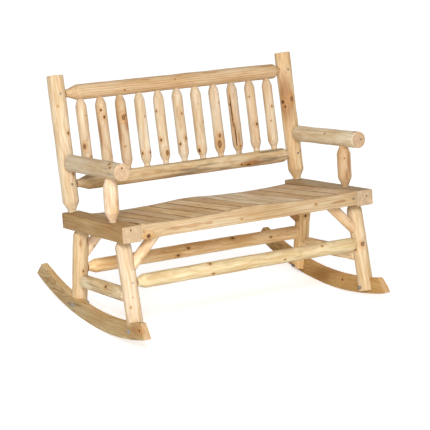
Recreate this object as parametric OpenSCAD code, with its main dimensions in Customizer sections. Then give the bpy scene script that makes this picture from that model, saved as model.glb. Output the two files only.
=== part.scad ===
// Rocking bench for two, joined from peeled logs. A slatted seat lies between two
// planed side rails, and four leaning legs stand it on a pair of curved rocker boards.
// Millimetres, +Z up. A sitter looks along -Y and has +X on the left-hand side.
// The origin is on the floor, under the middle of the bench as it stands at rest.
// The pieces are laid out level, in the seat frame's own axes: X = 0 halfway between
// the side rails, Y = 0 halfway along them and Z = 0 on their top faces.
// The module at_rest() then tips the whole bench back on its rockers.

/* [Stance] */
// Angle by which the empty bench leans back on its rockers
rest_pitch = 7.5; // [5:0.1:10]
// Height of the side rails' top faces over the rockers' lowest line, bench level
rail_rise = 434; // [400:1:480]

/* [Seat frame] */
// Width over the outer faces of the two side rails
outer_w = 1120; // [1000:10:1400]
// Length of a side rail, front to back
side_rail_l = 532; // [520:2:580]
// Width of a planed rail
rail_w = 78; // [74:1:84]
// Height of a planed rail
rail_h = 62; // [56:1:68]
// Height of the front rail, which is planed lower
front_rail_h = 56; // [50:1:60]
// Diameter of the log that a side rail is planed from
side_log_d = 96; // [92:1:104]
// Diameter of the log that the front or the rear rail is planed from
cross_log_d = 100; // [96:1:108]

/* [Seat slats] */
// Number of slats, with one on the ridge between the two hollows
slat_count = 13; // [9:2:15]
// Gap beside each slat
slat_gap = 5; // [3:0.5:8]
// Thickness of a slat
slat_t = 20; // [16:1:22]
// Length of a slat, front to back
slat_l = 482; // [450:2:490]
// Radius of the rounded long edges on top of a slat
slat_edge_r = 4; // [2:0.5:6]
// Fall of the slats towards the back, against the side rails
seat_slope = 2.1; // [1:0.1:3]
// Rise of the seat's outer edges over the side rails, at the slats' front ends
seat_front_rise = 2; // [0:0.5:5]
// Radius to which the two hollows of the seat are scooped
scoop_r = 3000; // [2600:50:5000]
// Distance of each hollow's lowest line from the middle of the bench
scoop_x = 280; // [220:5:320]

/* [Back] */
// Backward lean of the back against the side rails' top faces
back_lean = 6.6; // [3:0.1:10]
// Length of a back post above the side rail
post_l = 540; // [510:5:620]
// Diameter of a back post
post_d = 66; // [60:1:72]
// Distance of a back post's foot from the rear end of its side rail
post_setback = 29; // [26:1:40]
// Distance of posts and arm posts outward of a side rail's centre line
upright_offset = 6; // [0:1:8]
// Length of the taper at the foot of a back post
post_taper_l = 42; // [30:1:60]
// Diameter of a back post's tenon
post_tenon_d = 32; // [26:1:36]
// Depth of a back post's tenon in the side rail
post_tenon_l = 30; // [20:1:36]
// Diameter of the top rail of the back
top_rail_d = 62; // [54:1:66]
// Height of the top rail's centre line, measured up the posts
top_rail_s = 467; // [430:1:480]
// Diameter of the bottom rail of the back
bottom_rail_d = 60; // [54:1:64]
// Height of the bottom rail's centre line, measured up the posts
bottom_rail_s = 111; // [90:1:140]
// Length of the taper at each end of a back rail
rail_taper_l = 35; // [20:1:50]
// Diameter of a back rail's tenon
rail_tenon_d = 33; // [24:1:38]
// Depth of a back rail's tenon in the post
rail_tenon_l = 42; // [38:1:48]
// Number of spindles between the two back rails
spindle_count = 11; // [7:1:13]
// Diameter of a spindle
spindle_d = 44; // [36:1:48]
// Distance of the outermost spindles' centre lines from the posts' centre lines
spindle_edge = 94.5; // [85:0.5:120]
// Diameter of a spindle's tenon
spindle_tenon_d = 21; // [14:1:24]
// Depth of a spindle's tenon in the rail
spindle_tenon_l = 20; // [14:1:24]
// Bare length of tenon in view between a rail and a spindle's shoulder
spindle_neck_l = 8; // [4:1:14]
// Length of a spindle's rounded shoulder
spindle_shoulder_l = 28; // [18:1:40]

/* [Arms] */
// Diameter of an armrest
arm_d = 66; // [58:1:70]
// Height of an armrest's centre line over the side rail
arm_rise = 198; // [170:1:230]
// Distance of an armrest's front end from the front end of its side rail
arm_setback = 31; // [10:1:60]
// Depth of the mouth by which an armrest's rear end grips the back post
arm_mouth_l = 21; // [12:1:26]
// Diameter of an arm post
arm_post_d = 56; // [44:1:60]
// Distance of an arm post's centre line from the front end of its side rail
arm_post_setback = 142; // [130:1:180]
// Length of the taper at each end of an arm post
arm_post_taper_l = 34; // [20:1:44]
// Diameter of an arm post's tenons
arm_post_tenon_d = 28; // [20:1:32]
// Depth of an arm post's tenons
arm_post_tenon_l = 24; // [18:1:28]
// Diameter of the stub tenon at an armrest's rear end
arm_tenon_d = 28; // [20:1:32]
// Depth of the stub tenon at an armrest's rear end
arm_tenon_l = 24; // [18:1:28]

/* [Legs] */
// Diameter of a leg
leg_d = 62; // [58:1:66]
// Distance of a leg's centre line from the outer face of the side rail
leg_inset = 38; // [34:1:40]
// Forward lean of a front leg against the seat frame
front_leg_lean = 10.4; // [8:0.1:12]
// Backward lean of a rear leg against the seat frame
rear_leg_lean = 12.8; // [10:0.1:15]
// Distance of a front leg's head from the front end of the side rail
front_leg_setback = 85; // [75:1:90]
// Distance of a rear leg's head from the rear end of the side rail
rear_leg_setback = 87; // [82:1:95]
// Diameter of a leg's neck under the side rail
leg_neck_d = 46; // [42:1:56]
// Length of a leg's rounded shoulder
leg_shoulder_l = 18; // [12:1:30]
// Diameter of a leg's tenon
leg_tenon_d = 40; // [32:1:42]
// Depth of a leg's tenon in the side rail
leg_tenon_l = 32; // [24:1:34]
// Distance by which a leg's lap ends short of the rocker's lower edge
leg_lap_rise = 15; // [8:1:18]

/* [Stretchers and braces] */
// Diameter of the front and the rear stretcher
stretcher_d = 55; // [46:1:60]
// Distance of these stretchers' centre lines below the side rails' top faces
stretcher_drop = 221; // [200:1:232]
// Length of the taper at each end of a stretcher
stretcher_taper_l = 31; // [20:1:50]
// Diameter of a stretcher's tenon
stretcher_tenon_d = 34; // [26:1:38]
// Depth of a stretcher's tenon in the leg
stretcher_tenon_l = 40; // [35:1:44]
// Diameter of a side stretcher
side_stretcher_d = 54; // [46:1:58]
// Distance of the side stretchers' centre lines below the side rails' top faces
side_stretcher_drop = 270; // [262:1:285]
// Diameter of a side stretcher's stub tenon
side_tenon_d = 28; // [20:1:32]
// Depth of a side stretcher's stub tenon in the leg
side_tenon_l = 22; // [14:1:26]
// Diameter of a knee brace
brace_d = 42; // [34:1:46]
// Distance under the rail at which a brace's centre line would meet the leg's
brace_drop = 118; // [105:1:135]
// Slant of a brace from the upright
brace_slant = 45; // [40:1:50]

/* [Rockers] */
// Radius of a rocker's lower edge
rocker_r = 1585; // [1400:5:1800]
// Height of a rocker board
rocker_h = 64; // [58:1:72]
// Thickness of a rocker board
rocker_t = 32; // [28:1:36]
// Distance of the rockers' lowest line ahead of the side rails' middle, bench level
rocker_ahead = 76.5; // [60:0.5:130]
// Reach of a rocker's front tip, ahead of its lowest line
rocker_front = 289.5; // [250:0.5:320]
// Reach of a rocker's rear tip, behind its lowest line
rocker_rear = 662.5; // [620:0.5:720]
// Undercut of a rocker's sawn ends, beyond square
rocker_end_slant = 22; // [0:1:30]
// Steepness of the log's natural slope along a rocker's outer top edge, at the front end
front_wane_slope = 75; // [60:1:80]
// Steepness of that slope at the rear end
rear_wane_slope = 85; // [70:1:87]
// Length of that slope at the front end
front_wane_l = 190; // [150:5:210]
// Length of that slope at the rear end
rear_wane_l = 330; // [280:5:360]
// Angle at which the slope runs into the board at the front end
front_wane_lead = 9.5; // [7:0.1:11]
// Angle at which the slope runs into the board at the rear end
rear_wane_lead = 3.2; // [2:0.1:4]

/* [Bolts and screws] */
// Diameter of a bolt
bolt_d = 8; // [6:1:10]
// Diameter of a bolt's domed head
bolt_head_d = 20; // [16:1:24]
// Height of a bolt's domed head
bolt_head_h = 5; // [3:0.5:7]
// Distance of a bolt from the rocker's lower edge
bolt_rise = 30; // [26:1:34]
// Diameter of a washer
washer_d = 20; // [18:1:22]
// Thickness of a washer
washer_t = 1.6; // [1:0.1:2.5]
// Width of a nut across its flats
nut_w = 13; // [12:1:16]
// Height of a nut
nut_h = 6.5; // [5:0.5:8]
// Length of bolt that shows past the nut
bolt_proud = 3; // [1:0.5:6]
// Depth of the flat seat that is cut in the round leg for a washer
spot_depth = 2.2; // [2:0.1:4]
// Diameter of a screw's shank
screw_d = 4.5; // [3.5:0.5:6]
// Length of a screw
screw_l = 45; // [38:1:50]
// Diameter of a screw's head
screw_head_d = 9; // [7:0.5:11]
// Height of a screw's head
screw_head_h = 3; // [2:0.5:4]
// Slant of the screws that hold the front and the rear rail, from square
toe_slant = 50; // [40:1:55]
// Distance of these screws from the ends of the rail
toe_inset = 16; // [12:1:20]
// Depth to which these slanted screws are sunk
toe_sink = 9; // [7:1:12]

/* [Hidden] */
// Play all round a tenon or a hole's pin, and behind a coped end
fit_gap = 0.15;
// Space left past the end of a tenon or a screw
tip_gap = 2;
// Bevel on a tenon's end and on a log's sawn end
arris = 2;
// Length by which a cut runs past the face that it opens
overrun = 10;
// Share by which a shoulder swells past a straight cone: 1 meets the body smoothly
round_share = 1;
taper_share = 0.3;
// Straight steps along a shoulder
shoulder_steps = 4;
// Fineness of round pieces and of the great arcs
round_fn = 64;
arc_fn = 720;

// Places across the bench
clear_w = outer_w - 2 * rail_w;
rail_x = (outer_w - rail_w) / 2;
upright_x = rail_x + upright_offset;
leg_x = outer_w / 2 - leg_inset;

// Seat: the hollows' centres lie over the seat, and heights count from its outer edges
slat_w = (clear_w - (slat_count + 1) * slat_gap) / slat_count;
slat_pitch = slat_w + slat_gap;
scoop_z = sqrt(pow(scoop_r, 2) - pow(clear_w / 2 - scoop_x, 2));
ridge_half = slat_pitch / 2;
ridge_z = scoop_z - sqrt(pow(scoop_r, 2) - pow(scoop_x - ridge_half, 2));
slat_reach = sqrt(pow(scoop_r + slat_t, 2) - pow(slat_w / 2, 2));

// Rockers: both edges are arcs about one centre, high over the seat
arc_y = -rocker_ahead;
arc_z = rocker_r - rail_rise;
rocker_top_r = rocker_r - rocker_h;
front_tip_angle = asin(rocker_front / rocker_r);
rear_tip_angle = asin(rocker_rear / rocker_r);
// Moves the middle of the outline, tip to tip, over the origin
front_tip_y = -rocker_r * sin(front_tip_angle + rest_pitch);
rear_tip_y = rocker_r * sin(rear_tip_angle - rest_pitch);
rest_y = -(front_tip_y + rear_tip_y) / 2;

// Back: heights run up the leaning posts
post_y = side_rail_l / 2 - post_setback;
spindle_pitch = 2 * (upright_x - spindle_edge) / (spindle_count - 1);
spindle_low_s = bottom_rail_s + bottom_rail_d / 2;
spindle_high_s = top_rail_s - top_rail_d / 2;
back_rail_half = upright_x - post_d / 2;

// Arms
arm_post_y = arm_post_setback - side_rail_l / 2;
arm_post_l = arm_rise - arm_d / 2;
arm_front_y = arm_setback - side_rail_l / 2;
arm_back_y = post_y + arm_rise * tan(back_lean);

// Bolts
bolt_grip = rocker_t + leg_d / 2 - spot_depth;
bolt_l = bolt_grip + washer_t + nut_h + bolt_proud;

SIDES = [-1, 1];
ENDS = [-1, 1];

function cross_rail_h(end) = end < 0 ? front_rail_h : rail_h;

// Legs: end is -1 at the front and 1 at the rear, and t runs down a leg's centre line
function lean(end) = end < 0 ? front_leg_lean : rear_leg_lean;
function leg_head_y(end) =
    end * (side_rail_l / 2 - (end < 0 ? front_leg_setback : rear_leg_setback));
function leg_y_at(end, z) = leg_head_y(end) - end * tan(lean(end)) * (z + rail_h);
function leg_t_at(end, z) = -(z + rail_h) / cos(lean(end));
function leg_dir(end) = [end * sin(lean(end)), -cos(lean(end))];
function leg_start(end) = [leg_head_y(end) - arc_y, -rail_h - arc_z];
// Distance down a leg at which it lies r away from the rockers' common centre
function leg_t_reach(end, r) =
    let (along = leg_start(end) * leg_dir(end))
    sqrt(pow(along, 2) - leg_start(end) * leg_start(end) + pow(r, 2)) - along;
function bolt_yz(end) =
    [arc_y, arc_z] + leg_start(end) + leg_dir(end) * leg_t_reach(end, rocker_r - bolt_rise);

// Outline of a round piece's joint, from the tenon's tip at -tenon_l to its full width
function joint_outline(d, neck_d, shoulder_l, share, tenon_d, tenon_l, neck_l = 0) = concat(
    [[0, -tenon_l], [tenon_d / 2 - arris, -tenon_l], [tenon_d / 2, -tenon_l + arris]],
    neck_d > tenon_d ? [[tenon_d / 2, neck_l]] : [],
    [for (i = [0 : shoulder_steps]) let (t = i / shoulder_steps)
        [neck_d / 2 + (d - neck_d) / 2 * (t + share * t * (1 - t)), neck_l + shoulder_l * t]]);
function flipped(outline, l) =
    [for (i = [len(outline) - 1 : -1 : 0]) [outline[i][0], l - outline[i][1]]];
function numbered(name, i) = str(name, i < 10 ? "_0" : "_", i);

// Frames in which the pieces are placed

// Tips the level bench back about the rockers' centre and stands it on the floor
module at_rest() {
    translate([0, rest_y, rocker_r])
        rotate([-rest_pitch, 0, 0])
            translate([0, -arc_y, -arc_z])
                children();
}

// Modelled at +X and mirrored for the side at -X
module on_side(side) {
    if (side < 0)
        mirror([1, 0, 0]) children();
    else
        children();
}

// Modelled for the rear and mirrored for the front
module on_end(end) {
    if (end < 0)
        mirror([0, 1, 0]) children();
    else
        children();
}

// Y runs along the slats from their front ends, with Z = 0 at the seat's outer edges
module seat_frame() {
    translate([0, -slat_l / 2, seat_front_rise])
        rotate([-seat_slope, 0, 0])
            children();
}

// Z runs up the leaning back, from the side rails' top faces
module back_frame() {
    translate([0, post_y, 0])
        rotate([-back_lean, 0, 0])
            children();
}

// Z runs down a leg's centre line, from the side rail's underside
module leg_frame(end) {
    translate([leg_x, leg_head_y(end), -rail_h])
        rotate([180 + end * lean(end), 0, 0])
            children();
}

// Z runs along a bolt, inward from the rocker's outer face
module bolt_frame(side, end) {
    on_side(side)
        translate([leg_x + rocker_t, bolt_yz(end)[0], bolt_yz(end)[1]])
            rotate([0, -90, 0])
                children();
}

// X, Y and Z of a brace's foot on the leg's centre line, with Z rising to the rail
module brace_frame(end) {
    translate([leg_x, leg_y_at(end, -rail_h - brace_drop), -rail_h - brace_drop])
        rotate([0, -brace_slant, 0])
            children();
}

// Places of the screws, with Z pointing into the wood
module post_screw_places(side) {
    on_side(side)
        back_frame()
            for (s = [bottom_rail_s, top_rail_s])
                translate([upright_x, -post_d / 2, s])
                    rotate([-90, 0, 0])
                        children();
}

module leg_screw_place(side, end) {
    on_side(side)
        leg_frame(end)
            translate([0, -end * leg_d / 2, leg_t_at(end, -stretcher_drop)])
                rotate([-90 * end, 0, 0])
                    children();
}

module rail_screw_place(side, end) {
    on_side(side)
        on_end(end)
            translate([clear_w / 2 - toe_inset, side_rail_l / 2, -toe_drop(end)])
                rotate([90, 0, 0])
                    rotate([0, toe_slant, 0])
                        translate([0, 0, toe_sink])
                            children();
}

// The rear rail's top is the lower one, so its screws sit nearer its underside
function toe_drop(end) = cross_rail_h(end) / 2 + (end < 0 ? 0 : slat_l * sin(seat_slope) / 2);

// Shapes that several pieces share

// Round piece with the same joint at both ends, l long between its shoulders
module round_bar(l, outline) {
    rotate_extrude($fn = round_fn)
        polygon(concat(outline, flipped(outline, l)));
}

// Hole for a tenon, from z = 0 up to its tip, with room all round and past the tip
module mortise(tenon_d, tenon_l) {
    translate([0, 0, -overrun])
        cylinder(h = overrun + tenon_l + tip_gap, d = tenon_d + 2 * fit_gap, $fn = round_fn);
}

// Log planed flat below and on both sides, with its own round left along the corners.
// It is planed on top at z = 0, or reaches up to the crown given
module planed_log(l, log_d, h, crown = 0) {
    translate([0, 0, -h / 2])
        rotate([90, 0, 0])
            linear_extrude(l, center = true)
                intersection() {
                    circle(d = log_d, $fn = round_fn);
                    translate([-rail_w / 2, -h / 2])
                        square([rail_w, h + crown]);
                }
}

// Everything above the seat's curve, or above the same curve set deeper by the drop
module above_seat(drop) {
    intersection() {
        union() {
            for (side = SIDES)
                translate([side * scoop_x, scoop_z])
                    circle(r = scoop_r + drop, $fn = arc_fn);
            translate([-ridge_half, ridge_z - drop])
                square([2 * ridge_half, 2 * rail_h]);
        }
        square([clear_w + 2 * overrun, 2 * rail_h], center = true);
    }
}

// The space above that curve between two distances along the slats
module seat_space(drop, from_y, to_y) {
    seat_frame()
        translate([0, to_y, 0])
            rotate([90, 0, 0])
                linear_extrude(to_y - from_y)
                    above_seat(drop);
}

module leg_cylinder(end, d) {
    leg_frame(end)
        translate([0, 0, -leg_tenon_l])
            cylinder(h = rocker_r, d = d, $fn = round_fn);
}

module screw() {
    cylinder(h = screw_head_h, d = screw_head_d, $fn = round_fn);
    cylinder(h = screw_l - screw_head_d, d = screw_d, $fn = round_fn);
    translate([0, 0, screw_l - screw_head_d])
        cylinder(h = screw_head_d, d1 = screw_d, d2 = 0, $fn = round_fn);
}

// Hole for a screw, open past the face over its head by the given length
module screw_hole(open_l) {
    translate([0, 0, -open_l])
        cylinder(h = open_l + screw_head_h, d = screw_head_d + 2 * fit_gap, $fn = round_fn);
    cylinder(h = screw_l + tip_gap, d = screw_d + 2 * fit_gap, $fn = round_fn);
}

module bolt_hole() {
    translate([0, 0, -overrun])
        cylinder(h = bolt_l + 2 * overrun, d = bolt_d + 2 * fit_gap, $fn = round_fn);
}

// Rockers

// Board in the shape of an arc, with its ends sawn on a slant
module rocker_board() {
    front_way = [sin(front_tip_angle + rocker_end_slant), cos(front_tip_angle + rocker_end_slant)];
    rear_way = [-sin(rear_tip_angle + rocker_end_slant), cos(rear_tip_angle + rocker_end_slant)];
    front_tip = [-rocker_front, -rocker_r * cos(front_tip_angle)];
    rear_tip = [rocker_rear, -rocker_r * cos(rear_tip_angle)];
    translate([leg_x, arc_y, arc_z])
        rotate([90, 0, 90])
            linear_extrude(rocker_t)
                intersection() {
                    difference() {
                        circle(r = rocker_r, $fn = arc_fn);
                        circle(r = rocker_top_r, $fn = arc_fn);
                    }
                    polygon([
                        front_tip - rocker_r / 4 * front_way,
                        front_tip + 2 * rocker_h * front_way,
                        rear_tip + 2 * rocker_h * rear_way,
                        rear_tip - rocker_r / 4 * rear_way
                    ]);
                }
}

// Natural slope of the log that takes off the outer top corner towards one tip
module rocker_wane(end, tip_angle, wane_l, lead, slope) {
    fade_angle = tip_angle - asin(wane_l / rocker_top_r);
    translate([leg_x + rocker_t, arc_y, arc_z])
        on_end(end)
            rotate([fade_angle, 0, 0])
                translate([0, 0, -rocker_top_r])
                    rotate([-lead, 0, 0])
                        rotate([0, slope - 90, 0])
                            cube([2 * rocker_h, wane_l + 2 * rocker_h, 3 * rocker_h]);
}

module rocker(side) {
    color("peru")
        at_rest()
            difference() {
                on_side(side)
                    difference() {
                        rocker_board();
                        rocker_wane(-1, front_tip_angle, front_wane_l, front_wane_lead, front_wane_slope);
                        rocker_wane(1, rear_tip_angle, rear_wane_l, rear_wane_lead, rear_wane_slope);
                    }
                for (end = ENDS)
                    bolt_frame(side, end) bolt_hole();
            }
}

// Legs

// Round leg: a tenon in the side rail, a rounded shoulder cut level under it, and a
// foot whose outer half stands on the rocker while the inner half laps down its face
module leg_body(end) {
    leg_l = leg_t_reach(end, rocker_r - leg_lap_rise);
    shoulder = joint_outline(leg_d, leg_neck_d, leg_shoulder_l, round_share, leg_tenon_d, leg_tenon_l);
    neck = [for (p = shoulder) if (p[1] >= 0 && p[0] > leg_tenon_d / 2) p];
    difference() {
        leg_frame(end)
            rotate_extrude($fn = round_fn)
                polygon(concat(
                    [[0, -leg_tenon_l], [leg_neck_d / 2, -leg_tenon_l]],
                    neck,
                    [[leg_d / 2, leg_l], [0, leg_l]]));
        translate([leg_x, leg_head_y(end), 0])
            cube([2 * leg_d, 2 * leg_d, 2 * rail_h], center = true);
    }
    leg_frame(end)
        translate([0, 0, -leg_tenon_l])
            cylinder(h = leg_tenon_l + leg_shoulder_l, d = leg_tenon_d, $fn = round_fn);
}

// Room for the rocker: all of a leg outward of the board's inner face and under its top
module rocker_room(end) {
    difference() {
        translate([leg_x, leg_head_y(end) - leg_d * 3, arc_z - rocker_r])
            cube([leg_d, leg_d * 6, rail_rise - rail_h - leg_d]);
        translate([leg_x - overrun, arc_y, arc_z])
            rotate([0, 90, 0])
                cylinder(h = leg_d + 2 * overrun, r = rocker_top_r, $fn = arc_fn);
    }
}

module leg(side, end) {
    color("wheat")
        at_rest()
            difference() {
                on_side(side)
                    difference() {
                        leg_body(end);
                        rocker_room(end);
                        stretcher_mortise(end);
                        side_stretcher_mortise(end);
                    }
                bolt_frame(side, end) {
                    bolt_hole();
                    translate([0, 0, bolt_grip])
                        cylinder(h = leg_d, d = washer_d + tip_gap, $fn = round_fn);
                }
                leg_screw_place(side, end) screw_hole(leg_d);
            }
}

// Seat frame

module side_rail(side) {
    color("tan")
        at_rest()
            difference() {
                on_side(side)
                    difference() {
                        translate([rail_x, 0, 0]) planed_log(side_rail_l, side_log_d, rail_h);
                        for (end = ENDS)
                            leg_frame(end)
                                rotate([180, 0, 0])
                                    mortise(leg_tenon_d, leg_tenon_l);
                        back_frame()
                            translate([upright_x, 0, 0])
                                rotate([180, 0, 0])
                                    mortise(post_tenon_d, post_tenon_l);
                        translate([upright_x, arm_post_y, 0])
                            rotate([180, 0, 0])
                                mortise(arm_post_tenon_d, arm_post_tenon_l);
                    }
                for (end = ENDS)
                    rail_screw_place(side, end) screw_hole(0);
            }
}

// Front or rear rail between the side rails: its top follows the seat's two hollows,
// with a step behind its lip that takes the ends of the slats
module cross_rail(end) {
    color("burlywood")
        at_rest()
            difference() {
                translate([0, end * (side_rail_l - rail_w) / 2, 0])
                    rotate([0, 0, 90])
                        planed_log(clear_w, cross_log_d, cross_rail_h(end), cross_log_d / 2);
                seat_space(0, -side_rail_l, 2 * side_rail_l);
                seat_space(slat_t, 0, slat_l);
                for (side = SIDES)
                    rail_screw_place(side, end) screw_hole(rail_w);
            }
}

// Seat slats

module slat_board() {
    rotate([90, 0, 0])
        mirror([0, 0, 1])
            linear_extrude(slat_l) {
                translate([-slat_w / 2, 0])
                    square([slat_w, slat_t - slat_edge_r]);
                translate([slat_edge_r - slat_w / 2, 0])
                    square([slat_w - 2 * slat_edge_r, slat_t]);
                for (side = SIDES)
                    translate([side * (slat_w / 2 - slat_edge_r), slat_t - slat_edge_r])
                        circle(r = slat_edge_r, $fn = round_fn);
            }
}

// The middle slat lies flat on the ridge and the others lie square to their hollow
module seat_slat(i) {
    x = (i - (slat_count + 1) / 2) * slat_pitch;
    color(i % 3 == 0 ? "rosybrown" : "tan")
        at_rest()
            seat_frame()
                if (x == 0)
                    translate([0, 0, ridge_z - slat_t]) slat_board();
                else
                    translate([sign(x) * scoop_x, 0, scoop_z])
                        rotate([0, -sign(x) * asin((abs(x) - scoop_x) / scoop_r), 0])
                            translate([0, 0, -slat_reach])
                                slat_board();
}

// Back

// Leaning post: sawn flat on top, tapered to a tenon at the foot
module back_post(side) {
    foot = joint_outline(post_d, post_tenon_d, post_taper_l, taper_share, post_tenon_d, post_tenon_l);
    body = [for (p = foot) if (p[1] >= 0) p];
    color("burlywood")
        at_rest()
            difference() {
                on_side(side) {
                    difference() {
                        back_frame()
                            translate([upright_x, 0, 0])
                                rotate_extrude($fn = round_fn)
                                    polygon(concat(
                                        [[0, 0]],
                                        body,
                                        [[post_d / 2, post_l - arris], [post_d / 2 - arris, post_l],
                                         [0, post_l]]));
                        translate([upright_x, post_y, -rail_h / 2])
                            cube([2 * post_d, 2 * post_d, rail_h], center = true);
                    }
                    back_frame()
                        translate([upright_x, 0, -post_tenon_l])
                            cylinder(h = post_tenon_l + post_taper_l, d = post_tenon_d, $fn = round_fn);
                }
                on_side(side) {
                    back_rail_mortise(bottom_rail_s);
                    back_rail_mortise(top_rail_s);
                    translate([upright_x, arm_back_y - post_d / 2, arm_rise])
                        rotate([-90, 0, 0])
                            mortise(arm_tenon_d, arm_tenon_l);
                }
                post_screw_places(side) screw_hole(post_d);
            }
}

module back_rail_mortise(s) {
    back_frame()
        translate([back_rail_half, 0, s])
            rotate([0, 90, 0])
                mortise(rail_tenon_d, rail_tenon_l);
}

// Round rail between the posts, bored for the spindles on the side that faces them
module back_rail(d, s, facing) {
    outline = joint_outline(d, rail_tenon_d, rail_taper_l, taper_share, rail_tenon_d, rail_tenon_l);
    color("sandybrown")
        at_rest()
            difference() {
                back_frame()
                    translate([-back_rail_half, 0, s])
                        rotate([0, 90, 0])
                            round_bar(2 * back_rail_half, outline);
                back_frame()
                    for (i = [1 : spindle_count])
                        translate([spindle_x(i), 0, s + facing * d / 2])
                            rotate([facing < 0 ? 0 : 180, 0, 0])
                                mortise(spindle_tenon_d, spindle_tenon_l);
                for (side = SIDES)
                    post_screw_places(side) screw_hole(0);
            }
}

function spindle_x(i) = (i - (spindle_count + 1) / 2) * spindle_pitch;

// Round spindle: a short bare neck at each rail, then a rounded shoulder
module back_spindle(i) {
    neck_d = spindle_tenon_d + 2 * arris;
    outline = joint_outline(spindle_d, neck_d, spindle_shoulder_l, round_share,
        spindle_tenon_d, spindle_tenon_l, spindle_neck_l);
    color("burlywood")
        at_rest()
            back_frame()
                translate([spindle_x(i), 0, spindle_low_s])
                    round_bar(spindle_high_s - spindle_low_s, outline);
}

// Arms

// Round armrest: sawn flat in front, its rear end hollowed to fit round the back post
module armrest(side) {
    arm_end_y = arm_back_y - post_d / 2 + arm_mouth_l;
    color("tan")
        at_rest()
            on_side(side)
                difference() {
                    union() {
                        difference() {
                            translate([upright_x, arm_front_y, arm_rise])
                                rotate([-90, 0, 0]) {
                                    cylinder(h = arris, d1 = arm_d - 2 * arris, d2 = arm_d, $fn = round_fn);
                                    translate([0, 0, arris])
                                        cylinder(h = arm_end_y - arm_front_y - arris, d = arm_d, $fn = round_fn);
                                }
                            back_frame()
                                translate([upright_x, 0, 0])
                                    cylinder(h = post_l, d = post_d + 2 * fit_gap, $fn = round_fn);
                        }
                        translate([upright_x, arm_back_y - post_d, arm_rise])
                            rotate([-90, 0, 0])
                                cylinder(h = post_d / 2 + arm_tenon_l, d = arm_tenon_d, $fn = round_fn);
                    }
                    translate([upright_x, arm_post_y, arm_post_l])
                        mortise(arm_post_tenon_d, arm_post_tenon_l);
                }
}

module arm_post(side) {
    outline = joint_outline(arm_post_d, arm_post_tenon_d, arm_post_taper_l, taper_share,
        arm_post_tenon_d, arm_post_tenon_l);
    color("wheat")
        at_rest()
            on_side(side)
                translate([upright_x, arm_post_y, 0])
                    round_bar(arm_post_l, outline);
}

// Stretchers and braces

// Round bar between the two front legs or the two rear legs
module stretcher(end) {
    half = leg_x - leg_d / 2;
    outline = joint_outline(stretcher_d, stretcher_tenon_d, stretcher_taper_l, taper_share,
        stretcher_tenon_d, stretcher_tenon_l);
    color("burlywood")
        at_rest()
            difference() {
                translate([-half, leg_y_at(end, -stretcher_drop), -stretcher_drop])
                    rotate([0, 90, 0])
                        round_bar(2 * half, outline);
                for (side = SIDES)
                    leg_screw_place(side, end) screw_hole(0);
            }
}

module stretcher_mortise(end) {
    translate([leg_x - leg_d / 2, leg_y_at(end, -stretcher_drop), -stretcher_drop])
        rotate([0, 90, 0])
            mortise(stretcher_tenon_d, stretcher_tenon_l);
}

// Round bar between a front and a rear leg, hollowed at both ends to fit round them
module side_stretcher(side) {
    front_y = leg_y_at(-1, -side_stretcher_drop);
    rear_y = leg_y_at(1, -side_stretcher_drop);
    tenon_half = leg_d / 2 - side_tenon_l;
    color("tan")
        at_rest()
            on_side(side) {
                difference() {
                    translate([leg_x, front_y, -side_stretcher_drop])
                        rotate([-90, 0, 0])
                            cylinder(h = rear_y - front_y, d = side_stretcher_d, $fn = round_fn);
                    for (end = ENDS)
                        leg_cylinder(end, leg_d + 2 * fit_gap);
                }
                translate([leg_x, front_y + tenon_half, -side_stretcher_drop])
                    rotate([-90, 0, 0])
                        cylinder(h = rear_y - front_y - 2 * tenon_half, d = side_tenon_d, $fn = round_fn);
            }
}

module side_stretcher_mortise(end) {
    translate([leg_x, leg_y_at(end, -side_stretcher_drop) - end * leg_d / 2, -side_stretcher_drop])
        rotate([-90 * end, 0, 0])
            mortise(side_tenon_d, side_tenon_l);
}

// Short slanted log from a leg up to the front or the rear rail, cut level on top
module brace(side, end) {
    color("burlywood")
        at_rest()
            on_side(side)
                difference() {
                    brace_frame(end)
                        cylinder(h = 2 * brace_drop, d = brace_d, $fn = round_fn);
                    leg_cylinder(end, leg_d + 2 * fit_gap);
                    translate([leg_x - 2 * brace_drop, leg_y_at(end, -rail_h) - leg_d, -cross_rail_h(end)])
                        cube([2 * brace_drop, 2 * leg_d, 2 * brace_drop]);
                }
}

// Bolts and screws

module rocker_bolts() {
    dome_r = (pow(bolt_head_d / 2, 2) + pow(bolt_head_h, 2)) / (2 * bolt_head_h);
    color("silver")
        at_rest()
            for (side = SIDES, end = ENDS)
                bolt_frame(side, end) {
                    cylinder(h = bolt_l, d = bolt_d, $fn = round_fn);
                    intersection() {
                        translate([0, 0, dome_r - bolt_head_h])
                            sphere(r = dome_r, $fn = round_fn);
                        translate([0, 0, -bolt_head_h])
                            cylinder(h = bolt_head_h, d = 2 * bolt_head_d, $fn = round_fn);
                    }
                }
}

module rocker_washers() {
    color("silver")
        at_rest()
            for (side = SIDES, end = ENDS)
                bolt_frame(side, end)
                    translate([0, 0, bolt_grip])
                        difference() {
                            cylinder(h = washer_t, d = washer_d, $fn = round_fn);
                            bolt_hole();
                        }
}

module rocker_nuts() {
    color("silver")
        at_rest()
            for (side = SIDES, end = ENDS)
                bolt_frame(side, end)
                    translate([0, 0, bolt_grip + washer_t])
                        difference() {
                            cylinder(h = nut_h, d = nut_w / cos(30), $fn = 6);
                            bolt_hole();
                        }
}

// Screws that lock the back rails' tenons in the posts
module post_screws() {
    color("dimgray")
        at_rest()
            for (side = SIDES)
                post_screw_places(side) screw();
}

// Screws that lock the stretchers' tenons in the legs
module leg_screws() {
    color("dimgray")
        at_rest()
            for (side = SIDES, end = ENDS)
                leg_screw_place(side, end) screw();
}

// Slanted screws that hold the front and the rear rail to the side rails
module rail_screws() {
    color("dimgray")
        at_rest()
            for (side = SIDES, end = ENDS)
                rail_screw_place(side, end) screw();
}

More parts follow.
